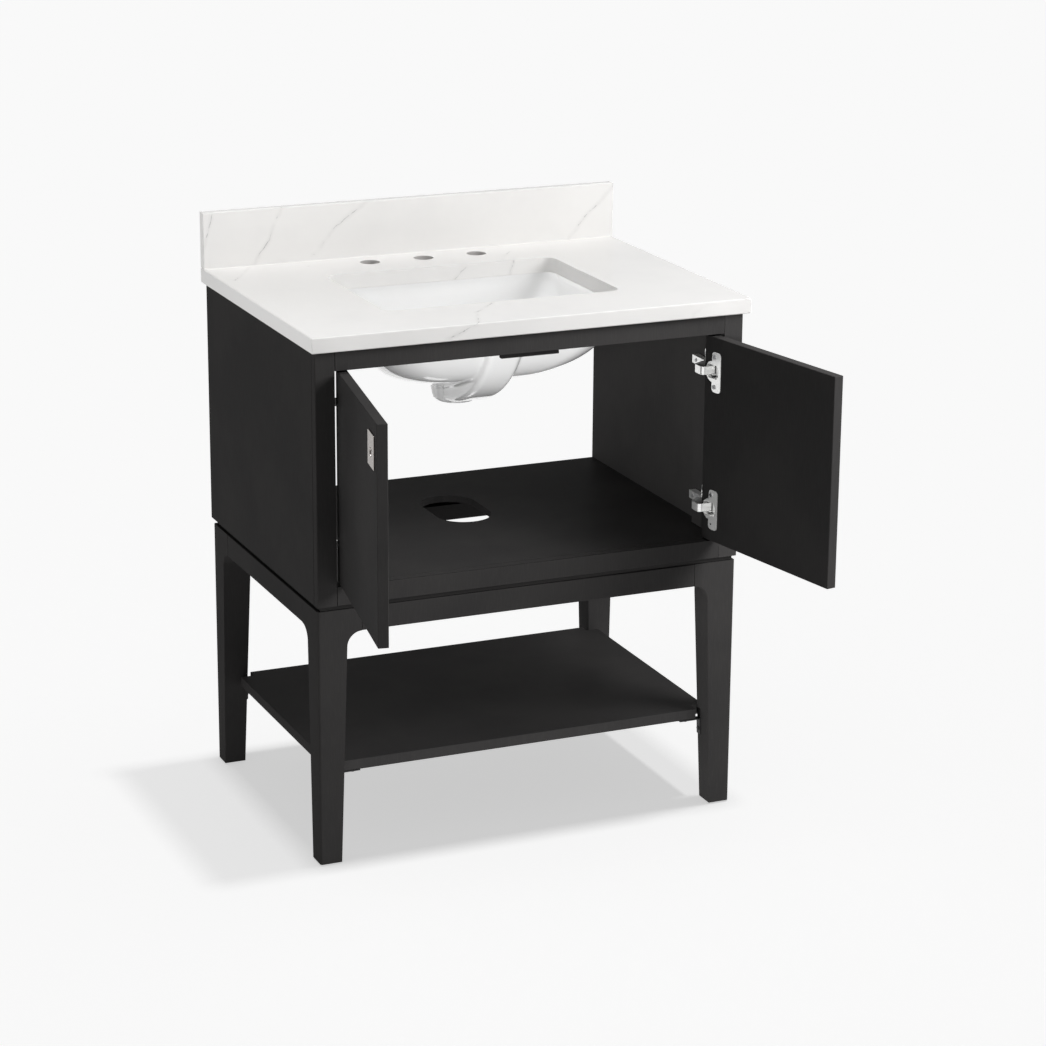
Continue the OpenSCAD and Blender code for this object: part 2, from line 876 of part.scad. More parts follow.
// A screw with its head on the origin's plane and its shank going down
module screw(shank) {
    rod(0, 0, -shank, 0, screw_r);
    cylinder(h = screw_head_h, r = screw_head_r);
}

module shelf_screws() {
    color(black_steel)
        for (side = [-1, 1], front = [false, true])
            at_corner(side, front) {
                translate([bracket_shelf_u, bracket_v, bracket_z - bracket_t])
                    rotate([180, 0, 0]) screw(screw_l - cut);
                on_leg_face() translate([0, 0, bracket_t * cos(leg_taper)]) screw(screw_l - cut);
            }
}

module leg_glides() {
    middle = leg_foot_w / 2;
    color(plastic_colour)
        for (side = [-1, 1], front = [false, true])
            at_corner(side, front)
                rod(middle, middle, 0, glide_t, glide_r);
}

// DOORS

// Swings its children from the closed place to the open one, about the hinge pins of one side
module swung(side) {
    on_side(side)
        translate([pivot_x, pivot_y, 0])
            rotate([0, 0, open_angle])
                translate([-pivot_x, -pivot_y, 0])
                    children();
}

// A round hole or rod into the door from its face, along Y
module rod_y(x, y0, y1, z, r) {
    translate([x, y1, z]) rotate([90, 0, 0]) cylinder(h = y1 - y0, r = r);
}

module door(side) {
    color(black_wood)
        swung(side)
            difference() {
                eased([door_x0, door_x1], [front_y, door_y1], [door_z0, door_z1]);
                for (z = hinge_zs) {
                    rod_y(cup_x, cup_bore_y, door_y1 + cut, z, cup_r);
                    for (s = [-1, 1])
                        rod_y(
                            door_x1 - cup_screw_in, door_y1 - screw_l + cup_flange_t, door_y1 + cut,
                            z + s * cup_screw_z, screw_r + screw_play
                        );
                }
                rod_y(
                    pull_x, front_y - cut, front_y + pull_cup_deep + pull_play,
                    pull_z - pull_cup_drop, pull_cup_r + pull_play
                );
            }
}

// A plate with a round finger cup sunk in the door and a lip over it
module pull(side) {
    cup_z = pull_z - pull_cup_drop;
    inner_r = pull_cup_r - pull_cup_wall;
    color(nickel)
        swung(side) {
            difference() {
                union() {
                    eased(
                        [pull_x - pull_w / 2, pull_x + pull_w / 2],
                        [front_y - pull_t, front_y],
                        [pull_z - pull_h / 2, pull_z + pull_h / 2],
                        pull_ease
                    );
                    rod_y(pull_x, front_y - pull_t / 2, front_y + pull_cup_deep, cup_z, pull_cup_r);
                }
                rod_y(
                    pull_x, front_y - pull_t - cut, front_y + pull_cup_deep - pull_cup_wall,
                    cup_z, inner_r
                );
            }
            translate([pull_x - pull_lip_w / 2, front_y - pull_lip_r, cup_z + pull_lip_rise])
                rotate([0, 90, 0]) cylinder(h = pull_lip_w, r = pull_lip_r);
        }
}

// HINGES

// The wing-shaped flange of the cup, seen square to the door
module cup_flange_outline() {
    translate([cup_in - cup_flange_in, 0])
        round_oblong(cup_flange_w, cup_flange_h, cup_flange_r);
    circle(cup_r + cup_rim_w);
}

// One hinge cup with its flange and the two ears that hold the pin, at the height of the hinge
module hinge_cup() {
    flange_y = door_y1 + cup_flange_t;
    difference() {
        union() {
            rod_y(cup_x, cup_bore_y, door_y1 + cup_flange_t / 2, 0, cup_r - cup_play);
            translate([cup_x, flange_y, 0])
                rotate([90, 0, 0])
                    linear_extrude(cup_flange_t) cup_flange_outline();
        }
        intersection() {
            rod_y(cup_x, cup_floor_y, flange_y + cut, 0, cup_inner_r);
            block(
                [cup_x - cup_r, cup_x + cup_r],
                [cup_floor_y - cut, flange_y + 2 * cut],
                [-cup_mouth_h / 2, cup_mouth_h / 2]
            );
        }
        for (s = [-1, 1])
            rod_y(
                door_x1 - cup_screw_in, door_y1 - cut, flange_y + cut,
                s * cup_screw_z, screw_r + screw_play
            );
    }
    for (s = [-1, 1])
        difference() {
            translate([0, 0, s * (ear_z + ear_t / 2)])
                block(
                    [pivot_x - ear_w / 2, pivot_x + ear_w / 2],
                    [cup_floor_y - cup_floor_t / 2, cup_floor_y + ear_deep],
                    [-ear_t / 2, ear_t / 2]
                );
            rod(pivot_x, pivot_y, -cup_r, cup_r, pin_r + pin_play);
        }
}

module hinge_cups(side) {
    color(nickel)
        swung(side)
            for (z = hinge_zs)
                translate([0, 0, z]) hinge_cup();
}

module hinge_pins(side) {
    reach = ear_z + ear_t;
    color(steel)
        swung(side)
            for (z = hinge_zs)
                rod(pivot_x, pivot_y, z - reach, z + reach, pin_r);
}

// The right door's lower hinge has lost its lower screw
module cup_screws(side) {
    color(steel)
        swung(side)
            for (i = [0, 1], s = [-1, 1])
                if (!(side > 0 && i == 0 && s < 0))
                    translate([door_x1 - cup_screw_in, door_y1 + cup_flange_t, hinge_zs[i] + s * cup_screw_z])
                        rotate([-90, 0, 0]) screw(screw_l - cut);
}

// The middle line of the goose neck in plan, from the eye to the channel, as places with a heading
neck_path = [
    [pivot_x, nose_line_y, 180],
    for (i = [0 : neck_steps])
        let (a = 270 - 90 * i / neck_steps)
        [nose_x + nose_mid_r * cos(a), nose_y + nose_mid_r * sin(a), a - 90],
    for (i = [0 : neck_steps])
        let (a = 180 - neck_turn * i / neck_steps)
        [neck_x + neck_r * cos(a), neck_y + neck_r * sin(a), a - 90],
    [
        neck_end_x + (neck_run + neck_lap) * sin(neck_turn),
        neck_end_y + (neck_run + neck_lap) * cos(neck_turn),
        90 - neck_turn
    ]
];

// One side of the bent sheet, offset from its middle line
function sheet_side(path, off) = [
    for (p = path) [p[0] - off * sin(p[2]), p[1] + off * cos(p[2])]
];

function reversed(list) = [for (i = [len(list) - 1 : -1 : 0]) list[i]];

// One goose-neck arm: an eye on the pin, the bent nose, the neck and the channel on the plate
module hinge_arm() {
    difference() {
        union() {
            rod(pivot_x, pivot_y, -arm_w / 2, arm_w / 2, eye_r);
            translate([0, 0, -arm_w / 2])
                linear_extrude(arm_w)
                    polygon(concat(
                        sheet_side(neck_path, -hinge_sheet / 2),
                        reversed(sheet_side(neck_path, hinge_sheet / 2))
                    ));
        }
        rod(pivot_x, pivot_y, -arm_w, arm_w, pin_r + pin_play);
    }
    difference() {
        block([arm_x, opening_hw - wing_t], [arm_y0 - hinge_sheet / 2, arm_y1], [-arm_w / 2, arm_w / 2]);
        block(
            [arm_x + arm_roof, opening_hw],
            [arm_y0 + hinge_sheet, arm_y1 + cut],
            [-arm_w / 2 + arm_roof, arm_w / 2 - arm_roof]
        );
        for (y = [side_screw_y, fix_screw_y])
            translate([arm_x - cut, y, 0])
                rotate([0, 90, 0])
                    cylinder(h = arm_roof + 2 * cut, r = screw_r + screw_play);
    }
}

module hinge_arms(side) {
    color(nickel)
        on_side(side)
            for (z = hinge_zs)
                translate([0, 0, z]) hinge_arm();
}

// One mounting plate: a bar under the arm and two wings with a screw hole each
module hinge_plate() {
    difference() {
        union() {
            block(
                [arm_x + arm_roof, opening_hw],
                [arm_y0 + hinge_sheet, arm_y1 - cut],
                [-plate_w / 2, plate_w / 2]
            );
            translate([opening_hw - wing_t, wing_y, 0])
                rotate([0, 90, 0])
                    linear_extrude(wing_t) round_oblong(wing_h, wing_w, wing_w / 2 - ring_flat);
            block([opening_hw - wing_t, opening_hw], [arm_y0, arm_y1], [-arm_w / 2, arm_w / 2]);
        }
        for (s = [-1, 1])
            translate([opening_hw - wing_t - cut, wing_y, s * wing_screw_z])
                rotate([0, 90, 0])
                    cylinder(h = wing_t + 2 * cut, r = screw_r + screw_play);
        for (y = [side_screw_y, fix_screw_y])
            translate([arm_x, y, 0])
                rotate([0, 90, 0])
                    cylinder(h = arm_h - plate_t, r = screw_r + screw_play);
    }
}

module hinge_plates(side) {
    color(nickel)
        on_side(side)
            for (z = hinge_zs)
                translate([0, 0, z]) hinge_plate();
}

module plate_screws(side) {
    color(steel)
        on_side(side)
            for (z = hinge_zs, s = [-1, 1])
                translate([opening_hw - wing_t, wing_y, z + s * wing_screw_z])
                    rotate([0, -90, 0]) screw(screw_l - 2 * cut);
}

module arm_screws(side) {
    color(steel)
        on_side(side)
            for (z = hinge_zs, y = [side_screw_y, fix_screw_y])
                translate([arm_x, y, z])
                    rotate([0, -90, 0]) {
                        rod(0, 0, -(arm_h - plate_t - cut), 0, screw_r);
                        cylinder(h = arm_screw_head, r = arm_screw_r);
                    }
}

countertop();
backsplash();
sink_basin();
sink_clips();
clip_studs();
side_panel(-1);  // left_side_panel
side_panel(1);  // right_side_panel
stile(-1);  // left_stile
stile(1);  // right_stile
top_rail();
bottom_rail();
floor_panel();
back_top_rail();
back_bottom_rail();
hinge_cleat(-1);  // left_hinge_cleat
hinge_cleat(1);  // right_hinge_cleat
corner_blocks();
door_stop();
spacer_frame();
leg(-1, true);  // front_left_leg
leg(1, true);  // front_right_leg
leg(-1, false);  // rear_left_leg
leg(1, false);  // rear_right_leg
long_apron(true);  // front_apron
long_apron(false);  // back_apron
side_apron(-1);  // left_apron
side_apron(1);  // right_apron
stand_corner_blocks();
cabinet_bolts();
lower_shelf();
shelf_brackets();
shelf_screws();
leg_glides();
door(-1);  // left_door
pull(-1);  // left_pull
hinge_cups(-1);  // left_hinge_cups
hinge_pins(-1);  // left_hinge_pins
cup_screws(-1);  // left_cup_screws
door(1);  // right_door
pull(1);  // right_pull
hinge_cups(1);  // right_hinge_cups
hinge_pins(1);  // right_hinge_pins
cup_screws(1);  // right_cup_screws
hinge_arms(-1);  // left_hinge_arms
hinge_plates(-1);  // left_hinge_plates
plate_screws(-1);  // left_plate_screws
arm_screws(-1);  // left_arm_screws
hinge_arms(1);  // right_hinge_arms
hinge_plates(1);  // right_hinge_plates
plate_screws(1);  // right_plate_screws
arm_screws(1);  // right_arm_screws
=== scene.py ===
import json
import math

import bmesh
import bpy
from mathutils import Matrix, Vector


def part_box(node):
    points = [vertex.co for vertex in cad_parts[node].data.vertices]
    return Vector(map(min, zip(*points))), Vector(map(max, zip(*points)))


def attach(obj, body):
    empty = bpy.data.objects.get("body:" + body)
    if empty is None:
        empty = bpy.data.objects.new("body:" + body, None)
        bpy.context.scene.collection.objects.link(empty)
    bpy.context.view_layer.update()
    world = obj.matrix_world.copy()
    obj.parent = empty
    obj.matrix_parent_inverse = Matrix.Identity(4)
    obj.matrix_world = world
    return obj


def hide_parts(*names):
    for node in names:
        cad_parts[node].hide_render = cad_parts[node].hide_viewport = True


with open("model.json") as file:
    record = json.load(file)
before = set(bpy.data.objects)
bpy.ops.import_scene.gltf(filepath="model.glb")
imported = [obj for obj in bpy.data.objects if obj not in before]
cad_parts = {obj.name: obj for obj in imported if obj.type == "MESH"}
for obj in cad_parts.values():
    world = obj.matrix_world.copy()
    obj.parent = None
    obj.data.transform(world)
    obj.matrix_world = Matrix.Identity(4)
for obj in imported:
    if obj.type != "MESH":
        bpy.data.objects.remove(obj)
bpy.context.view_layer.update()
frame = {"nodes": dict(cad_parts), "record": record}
MM = 0.001
QUARTER_TURN = math.pi / 2
FULL_TURN = 2 * math.pi
UP = Vector((0, 0, 1))


# CAMERA

CAMERA_PLACE = (-2.0101, -5.1075, 2.0725)
CAMERA_LENS_MM = 106.97
CAMERA_SENSOR_MM = 36.0
CAMERA_TURN = math.radians(23.641)
CAMERA_DOWN = math.radians(16.920)
CAMERA_ROLL = math.radians(0.438)


def make_camera():
    """The photo's viewing angle: turned to the right of +Y, tilted down and rolled a little."""
    data = bpy.data.cameras.new("camera")
    data.lens = CAMERA_LENS_MM
    data.sensor_width = CAMERA_SENSOR_MM
    camera = bpy.data.objects.new("camera", data)
    bpy.context.scene.collection.objects.link(camera)
    turn, down, roll = CAMERA_TURN, CAMERA_DOWN, CAMERA_ROLL
    ahead = Vector((math.sin(turn) * math.cos(down), math.cos(turn) * math.cos(down), -math.sin(down)))
    level = Vector((math.cos(turn), -math.sin(turn), 0))
    upright = level.cross(ahead)
    right = level * math.cos(roll) + upright * math.sin(roll)
    up = upright * math.cos(roll) - level * math.sin(roll)
    turned = Matrix((right, up, -ahead)).transposed().to_4x4()
    camera.matrix_world = Matrix.Translation(CAMERA_PLACE) @ turned
    bpy.context.scene.camera = camera


# NODE GRAPHS

NEARNESS_SAMPLES = 8


class Graph:
    """The node tree of a new material or world, with short calls to add and join its nodes."""

    def __init__(self, owner, output):
        owner.use_nodes = True
        self.owner = owner
        self.tree = owner.node_tree
        self.tree.nodes.clear()
        self.output = self.add(output)

    def add(self, kind, settings=(), **inputs):
        """A node with its own settings, and with a value or a link for each input that is named."""
        node = self.tree.nodes.new("ShaderNode" + kind)
        for name, value in dict(settings).items():
            setattr(node, name, value)
        for name, value in inputs.items():
            self.feed(node.inputs[name.replace("_", " ")], value)
        return node

    def feed(self, socket, value):
        if isinstance(value, bpy.types.NodeSocket):
            self.tree.links.new(value, socket)
        else:
            socket.default_value = value

    def math(self, operation, first, second=0.0, clamp=False):
        node = self.add("Math", {"operation": operation, "use_clamp": clamp})
        self.feed(node.inputs[0], first)
        self.feed(node.inputs[1], second)
        return node.outputs[0]

    def spread(self, value, low, high, to_low=0.0, to_high=1.0):
        """Eases a value from the range low to high into another one, and holds it at the ends."""
        node = self.add(
            "MapRange", {"interpolation_type": "SMOOTHSTEP"},
            Value=value, From_Min=low, From_Max=high, To_Min=to_low, To_Max=to_high,
        )
        return node.outputs["Result"]

    def mix(self, share, first, second):
        node = self.add("Mix", {"data_type": "RGBA"}, Factor=share, A=first, B=second)
        return node.outputs["Result"]

    def place(self, scale=(1, 1, 1)):
        """The piece's own coordinates, which are those of the frame, times a scale."""
        where = self.add("TexCoord").outputs["Object"]
        return self.add("Mapping", Vector=where, Scale=scale).outputs["Vector"]

    def noise(self, where, scale, detail=2.0, roughness=0.5, output="Fac"):
        node = self.add("TexNoise", Vector=where, Scale=scale, Detail=detail, Roughness=roughness)
        return node.outputs[output]

    def bump(self, height, distance):
        return self.add("Bump", Height=height, Distance=distance, Strength=1.0).outputs["Normal"]

    def vector(self, operation, first, second=(0, 0, 0), scale=1.0):
        node = self.add("VectorMath", {"operation": operation})
        self.feed(node.inputs[0], first)
        if operation == "SCALE":
            self.feed(node.inputs["Scale"], scale)
        else:
            self.feed(node.inputs[1], second)
        return node.outputs["Value" if operation in ("DOT_PRODUCT", "LENGTH") else "Vector"]

    def nearness(self, reach):
        """0 deep in a joint or corner and 1 in the open, from what stands within reach."""
        node = self.add("AmbientOcclusion", {"samples": NEARNESS_SAMPLES}, Distance=reach)
        return self.spread(node.outputs["AO"], low=0.35, high=0.8)

    def seen(self):
        """1 for rays from the camera and for those that gloss and glass throw on, and 0 for soft light."""
        rays = self.add("LightPath").outputs
        thrown_on = self.math("MAXIMUM", rays["Is Glossy Ray"], rays["Is Transmission Ray"])
        return self.math("MAXIMUM", rays["Is Camera Ray"], thrown_on)

    def finish(self, shader):
        self.tree.links.new(shader.outputs[0], self.output.inputs["Surface"])
        return self.owner


def new_material(name):
    return Graph(bpy.data.materials.new(name), "OutputMaterial")


def colour(red, green, blue):
    return (red, green, blue, 1.0)


def grey(tone):
    return colour(tone, tone, tone)


def shaded(tint, level):
    return colour(*[part * level for part in tint])


# LACQUER

LACQUER_TONE = 0.048
CLOUD_DARK = (0.93, 0.90, 0.90)
CLOUD_LIGHT = (1.07, 1.03, 1.02)
GRAIN_LIGHT = (1.6, 1.55, 1.5)
GRAIN_STRETCH = (1.0, 1.0, 0.06)
GRAIN_SHARE = 0.18
PEEL_DEPTH = 0.00005
# How much lighter the eased edges are painted: a painted highlight along rounded edges
EDGE_HIGHLIGHT_LIFT = 1.1
JOINT_REACH = 0.004
JOINT_SHADE = 0.05
SATIN_LEVEL = 0.003


def black_lacquer(name, tone):
    """Satin black paint on wood: a soft cloud in the tone, a faint grain and fine orange peel."""
    g = new_material(name)
    where = g.place()
    cloud = g.noise(where, scale=6.0, detail=3.0)
    grain = g.noise(g.place(GRAIN_STRETCH), scale=700.0, detail=3.0)
    peel = g.noise(where, scale=900.0, detail=3.0)
    clouded = g.spread(cloud, low=0.35, high=0.65)
    grained = g.spread(grain, low=0.42, high=0.75, to_high=GRAIN_SHARE)
    base = g.mix(clouded, shaded(CLOUD_DARK, tone), shaded(CLOUD_LIGHT, tone))
    base = g.mix(grained, base, shaded(GRAIN_LIGHT, tone))
    base = g.mix(g.nearness(JOINT_REACH), grey(tone * JOINT_SHADE), base)
    return g.finish(g.add(
        "BsdfPrincipled", Base_Color=base, Specular_IOR_Level=SATIN_LEVEL,
        Roughness=g.spread(peel, low=0.3, high=0.7, to_low=0.44, to_high=0.56),
        Normal=g.bump(g.mix(0.5, peel, grain), PEEL_DEPTH),
    ))


# STONE

SPLASH_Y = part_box("backsplash")[0].y
TOP_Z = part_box("countertop")[1].z
FRONT_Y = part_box("countertop")[0].y
CUTOUT_Y = -0.142


def on_splash(x, z):
    return (x, SPLASH_Y, z)


def on_top(x, y):
    return (x, y, TOP_Z)


def on_cutout(x, z):
    return (x, CUTOUT_Y, z)


def on_front(x, z):
    return (x, FRONT_Y, z)


# Each vein: how strong it is, and the points that it passes
VEINS = (
    (0.9, (on_splash(-0.375, 1.016), on_splash(-0.400, 0.930))),
    (0.8, (
        on_splash(-0.247, 1.016), on_splash(-0.272, 0.958), on_splash(-0.305, 0.912),
        on_top(-0.370, -0.120),
    )),
    (0.7, (
        on_splash(-0.085, 1.016), on_splash(-0.147, 0.974), on_splash(-0.187, 0.925),
        on_top(-0.215, -0.060),
    )),
    (0.8, (on_splash(0.394, 1.010), on_splash(0.352, 0.966), on_splash(0.306, 0.917))),
    (0.6, (on_top(0.167, -0.070), on_top(0.145, -0.098), on_top(0.120, -0.132))),
    (1.0, (on_cutout(0.142, 0.914), on_cutout(0.138, 0.900), on_cutout(0.134, 0.886))),
    (0.6, (on_cutout(0.050, 0.908), on_cutout(0.029, 0.890))),
    (1.0, (
        on_top(-0.018, -0.436), on_top(-0.080, -0.496),
        on_front(-0.104, 0.914), on_front(-0.160, 0.889),
    )),
    (0.6, (on_top(0.330, -0.560), on_front(0.300, 0.908), on_front(0.286, 0.892))),
)
VEIN_WIDTH = 0.0012
VEIN_HALO = 0.007
VEIN_TONE = colour(0.30, 0.305, 0.305)
VEIN_SHARE = 0.95
HALO_TONE = colour(0.5, 0.49, 0.48)
HALO_SHARE = 0.20
WANDER = 0.014
WANDER_SCALE = 14.0
CRINKLE = 0.006
CRINKLE_SCALE = 75.0
NOISE_MIDDLE = (0.5, 0.5, 0.5)
STONE_LIGHT = colour(0.88, 0.87, 0.855)
STONE_DEEP = colour(0.85, 0.84, 0.828)
# Darker stone for the walls of the faucet holes: painted shade inside the holes
BORE_SHADE_STONE = colour(0.62, 0.60, 0.59)
BORE_SHADE_BAND = 0.0006
FAUCET_HOLE_R = 0.0175
LEVEL = (1, 1, 0)


def vein_stretch(g, where, start, end):
    """How far a point is from one stretch of a vein."""
    start, end = Vector(start), Vector(end)
    way = end - start
    off = g.vector("SUBTRACT", where, tuple(start))
    along = g.vector("DOT_PRODUCT", off, tuple(way))
    share = g.math("MULTIPLY", along, 1 / way.length_squared, clamp=True)
    return g.vector("LENGTH", g.vector("SUBTRACT", off, g.vector("SCALE", tuple(way), scale=share)))


def nearest(g, distances):
    near = distances[0]
    for far in distances[1:]:
        near = g.math("MINIMUM", near, far)
    return near


def painted_bore_shade(g, where):
    """1 on the walls of the faucet holes, which are painted darker as painted shade inside the holes, and
    0 elsewhere.
    """
    pair = next(mount for mount in frame["record"]["mounts"] if mount["name"] == "faucet_handles")
    middle = Vector(pair["pos_m"])
    half = Vector((pair["dims"]["spacing_x_mm"] * MM / 2, 0, 0))
    distances = []
    for hole in (middle - half, middle, middle + half):
        off = g.vector("MULTIPLY", g.vector("SUBTRACT", where, tuple(hole)), LEVEL)
        distances.append(g.vector("LENGTH", off))
    rim = FAUCET_HOLE_R + BORE_SHADE_BAND
    return g.spread(nearest(g, distances), FAUCET_HOLE_R, rim, to_low=1.0, to_high=0.0)


def quartz():
    """Polished warm white stone with thin grey veins that wander, each in a faint halo."""
    g = new_material("quartz")
    where = g.place()
    cloud = g.noise(where, scale=5.0, detail=4.0, roughness=0.6)
    patchy = g.spread(g.noise(where, scale=45.0), low=0.34, high=0.56, to_low=0.35)
    bent = where
    for scale, reach in ((WANDER_SCALE, WANDER), (CRINKLE_SCALE, CRINKLE)):
        drift = g.noise(where, scale, detail=3.0, output="Color")
        drift = g.vector("SUBTRACT", drift, NOISE_MIDDLE)
        bent = g.vector("ADD", bent, g.vector("SCALE", drift, scale=reach))
    line = 0.0
    halo = 0.0
    for strength, points in VEINS:
        near = nearest(g, [vein_stretch(g, bent, *ends) for ends in zip(points, points[1:])])
        line = g.math("MAXIMUM", line, g.spread(near, 0.0, VEIN_WIDTH, strength, 0.0))
        halo = g.math("MAXIMUM", halo, g.spread(near, 0.0, VEIN_HALO, strength, 0.0))
    tone = g.mix(g.spread(cloud, low=0.4, high=0.7), STONE_LIGHT, STONE_DEEP)
    tone = g.mix(g.math("MULTIPLY", g.math("MULTIPLY", halo, patchy), HALO_SHARE), tone, HALO_TONE)
    tone = g.mix(g.math("MULTIPLY", g.math("MULTIPLY", line, patchy), VEIN_SHARE), tone, VEIN_TONE)
    # Painted shade: the walls of the faucet holes are painted darker
    tone = g.mix(painted_bore_shade(g, where), tone, BORE_SHADE_STONE)
    return g.finish(g.add("BsdfPrincipled", Base_Color=tone, Roughness=0.2, Specular_IOR_Level=0.4))


# CHINA, METAL, PLASTIC AND PAINT

RIPPLE_DEPTH = 0.0006
PLASTIC_GRAIN_DEPTH = 0.0001
DULLED = 0.95
TARNISHED = 0.12


def china():
    """White glaze over vitreous china, with the slow ripple that firing leaves."""
    g = new_material("china")
    wave = g.noise(g.place(), scale=14.0, detail=1.0)
    return g.finish(g.add(
        "BsdfPrincipled", Base_Color=g.mix(wave, colour(0.87, 0.87, 0.868), colour(0.89, 0.89, 0.888)),
        Roughness=0.08, Coat_Weight=1.0, Coat_Roughness=0.03, Normal=g.bump(wave, RIPPLE_DEPTH),
    ))


def metal(name, tone, smooth, rough, metallic, stretch=(1, 1, 1), recess=0.0):
    """Plated metal: fine scratches in its gloss, along the stretch, and tarnish in any recess."""
    g = new_material(name)
    scratches = g.noise(g.place(stretch), scale=300.0, detail=3.0)
    cloud = g.noise(g.place(), scale=60.0)
    tint = g.mix(cloud, colour(*tone), shaded(tone, DULLED))
    if recess:
        tint = g.mix(g.nearness(recess), shaded(tone, TARNISHED), tint)
    gloss = g.spread(scratches, low=0.3, high=0.7, to_low=smooth, to_high=rough)
    return g.finish(g.add("BsdfPrincipled", Base_Color=tint, Roughness=gloss, Metallic=metallic))


def black_plastic():
    g = new_material("black_plastic")
    fine = g.noise(g.place(), scale=700.0)
    return g.finish(g.add(
        "BsdfPrincipled", Base_Color=g.mix(fine, grey(0.03), grey(0.05)), Roughness=0.6,
        Specular_IOR_Level=0.2, Normal=g.bump(fine, PLASTIC_GRAIN_DEPTH),
    ))


def black_paint():
    g = new_material("black_paint")
    fine = g.noise(g.place(), scale=500.0)
    return g.finish(g.add(
        "BsdfPrincipled", Base_Color=g.mix(fine, grey(0.035), grey(0.045)), Specular_IOR_Level=0.3,
        Roughness=g.spread(fine, low=0.3, high=0.7, to_low=0.35, to_high=0.5),
    ))


# FINISHES OF THE PARTS

MATERIALS = {
    "wood": black_lacquer("black_lacquer", LACQUER_TONE),
    "stone": quartz(),
    "china": china(),
    "nickel": metal(
        "nickel_plate", tone=(0.95, 0.95, 0.94), smooth=0.10, rough=0.15, metallic=0.6, recess=0.004
    ),
    "steel": metal("zinc_plate", tone=(0.42, 0.42, 0.43), smooth=0.25, rough=0.4, metallic=0.9),
    "plastic": black_plastic(),
    "black_steel": black_paint(),
}
# Lighter lacquer for the eased edges: a painted highlight where rounded edges catch light
EDGE_HIGHLIGHT_LACQUER = black_lacquer("black_lacquer_highlit_edge", LACQUER_TONE * EDGE_HIGHLIGHT_LIFT)
PULL_NICKEL = metal(
    "pull_nickel", tone=(0.42, 0.39, 0.37), smooth=0.25, rough=0.42, metallic=0.9, recess=0.006,
    stretch=(1.0, 1.0, 12.0),
)
SLOT_OF = {part["node"]: part["material_slot"] for part in frame["record"]["subparts"]}
BODY_OF = {
    node: body
    for body, nodes in frame["record"]["behaviour"]["bodies"].items()
    for node in nodes
}


def dress(piece, *materials):
    piece.data.materials.clear()
    for material in materials:
        piece.data.materials.append(material)


for name, node in frame["nodes"].items():
    dress(node, MATERIALS[SLOT_OF[name]])


# SOFT EDGES

WELD = 0.000001
FLAT_ANGLE = math.radians(0.4)
SHARP_ANGLE = math.radians(28.0)
WOOD_SOFTNESS = 0.0006
STONE_SOFTNESS = 0.0006
METAL_SOFTNESS = 0.00018
SOFT_STEPS = 2
STRAIGHT = math.cos(math.radians(12.0))
UPRIGHT = 0.5


def new_piece(name, work):
    """An object from a bmesh, which is freed."""
    mesh = bpy.data.meshes.new(name)
    work.to_mesh(mesh)
    work.free()
    piece = bpy.data.objects.new(name, mesh)
    bpy.context.scene.collection.objects.link(piece)
    return piece


def settle(piece):
    """Turns a piece's modifiers into its mesh."""
    bpy.context.view_layer.update()
    ready = piece.evaluated_get(bpy.context.evaluated_depsgraph_get())
    mesh = bpy.data.meshes.new_from_object(ready)
    piece.modifiers.clear()
    piece.data = mesh


def stand_in(piece, name):
    """The piece takes a part's place and body, and the part is hidden."""
    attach(piece, BODY_OF[name])
    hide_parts(name)


def upright_area(face):
    return face.area if abs(face.normal.z) < UPRIGHT else 0.0


def paint_edge_highlights(mesh):
    """Gives the second material, a lighter lacquer that paints a highlight, to the eased edges, which lie
    askew to the piece's own directions.
    """
    ahead = max(mesh.polygons, key=upright_area).normal.copy()
    ways = (ahead, ahead.cross(UP), UP)
    for face in mesh.polygons:
        askew = max(abs(face.normal.dot(way)) for way in ways) < STRAIGHT
        face.material_index = 1 if askew else 0


def soften(name, softness, *materials):
    """A copy of a part whose edges are rounded a little, as paint, polish and plating leave them."""
    work = bmesh.new()
    work.from_mesh(frame["nodes"][name].data)
    bmesh.ops.remove_doubles(work, verts=work.verts, dist=WELD)
    bmesh.ops.dissolve_limit(work, angle_limit=FLAT_ANGLE, verts=work.verts, edges=work.edges)
    for face in work.faces:
        face.smooth = True
    piece = new_piece(name + "_skin", work)
    if "custom_normal" in piece.data.attributes:
        piece.data.attributes.remove(piece.data.attributes["custom_normal"])
    bevel = piece.modifiers.new("bevel", "BEVEL")
    bevel.width = softness
    bevel.segments = SOFT_STEPS
    bevel.limit_method = "ANGLE"
    bevel.angle_limit = SHARP_ANGLE
    bevel.harden_normals = True
    settle(piece)
    dress(piece, *materials)
    if len(materials) > 1:
        # The eased edges get the lighter lacquer, a painted highlight
        paint_edge_highlights(piece.data)
    stand_in(piece, name)
    return piece


SKINS = {}
for name, slot in SLOT_OF.items():
    if slot == "wood":
        SKINS[name] = soften(name, WOOD_SOFTNESS, MATERIALS["wood"], EDGE_HIGHLIGHT_LACQUER)
    elif slot == "stone":
        SKINS[name] = soften(name, STONE_SOFTNESS, MATERIALS["stone"])
    elif name.endswith("pull"):
        SKINS[name] = soften(name, METAL_SOFTNESS, PULL_NICKEL)
    elif slot == "nickel":
        SKINS[name] = soften(name, METAL_SOFTNESS, MATERIALS["nickel"])


# BASIN

RIM_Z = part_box("sink_basin")[1].z
BOSS_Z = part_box("sink_basin")[0].z
CHINA = 0.008
FLANGE = 0.014
FLANGE_DEPTH = 0.010

